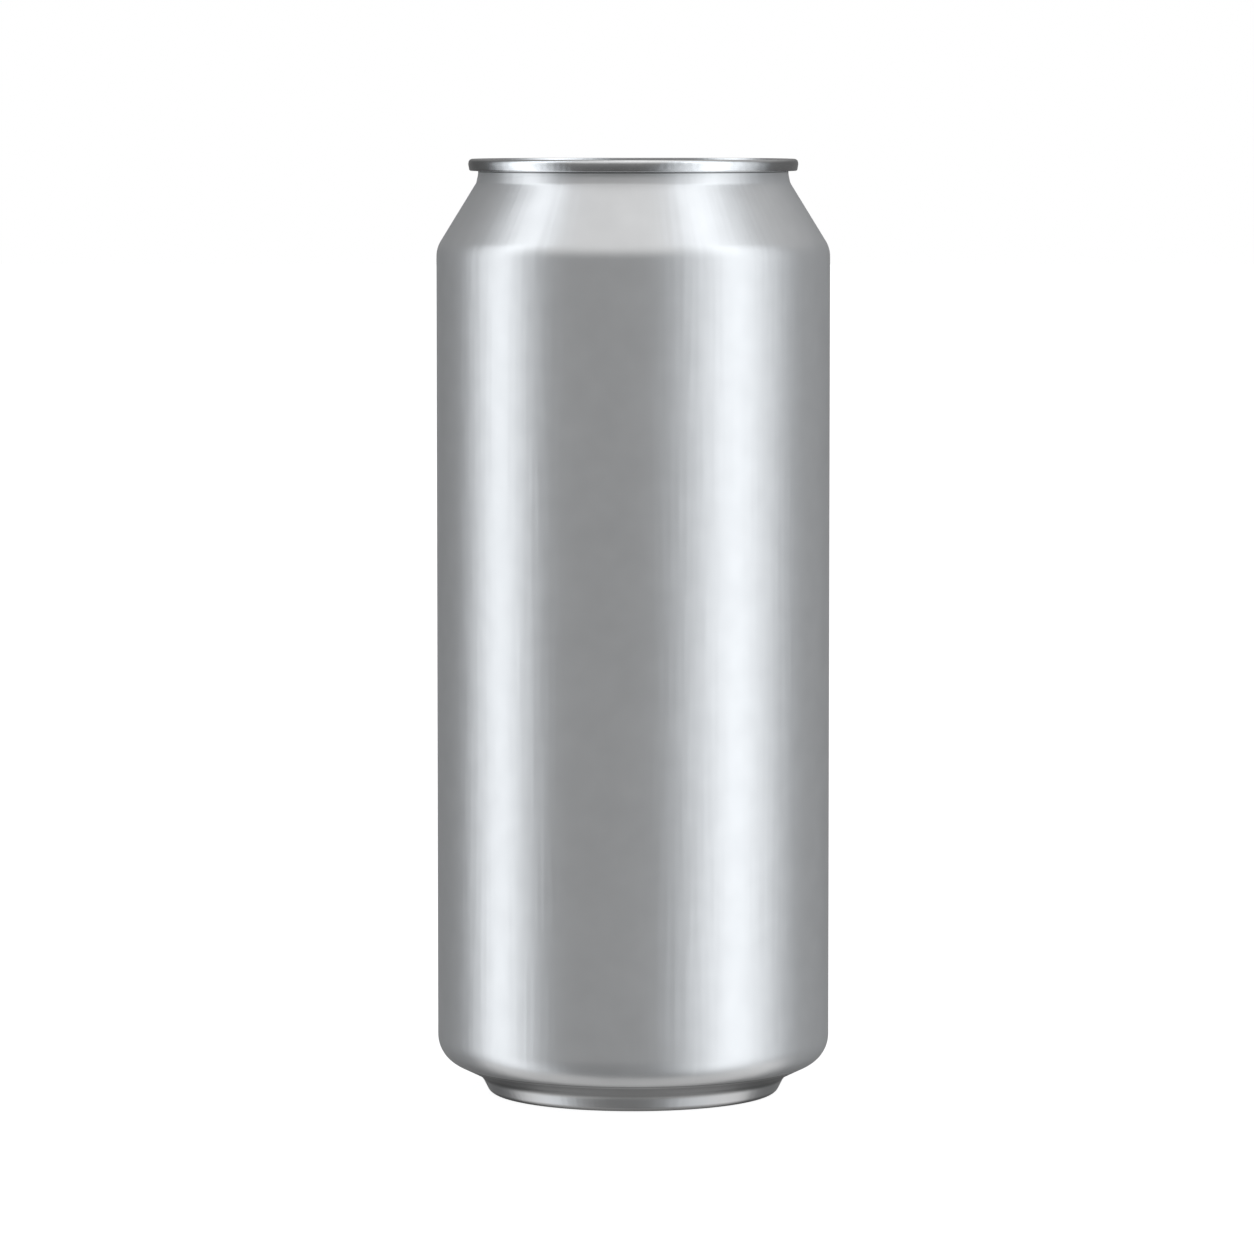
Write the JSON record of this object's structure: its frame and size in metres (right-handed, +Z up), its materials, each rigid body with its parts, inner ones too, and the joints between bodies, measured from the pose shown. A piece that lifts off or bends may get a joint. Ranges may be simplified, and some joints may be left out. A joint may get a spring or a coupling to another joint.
{
  "type": "aluminium beverage can",
  "caption": "Tall closed aluminium drink can, unprinted satin metal, with a necked top, double-seamed end, stay-on pull tab, stepped chime and domed base.",
  "frame": {"origin": "centre of the base, on the surface that the can stands on", "axes": "+Z up along the can's axis; the pour opening faces -Y and the heel of the tab points to +Y; +X completes a right-handed frame"},
  "size_m": [0.066, 0.066, 0.1574],
  "materials": {
    "body_metal": "satin, drawn and ironed, bare metal with faint vertical draw lines",
    "end_metal": "semi-bright rolled sheet",
    "tab_metal": "semi-bright rolled sheet with curled edges"
  },
  "bodies": {
    "root": {"can_body": "body_metal", "can_end": "end_metal", "pull_tab": "tab_metal"}
  },
  "joints": []
}
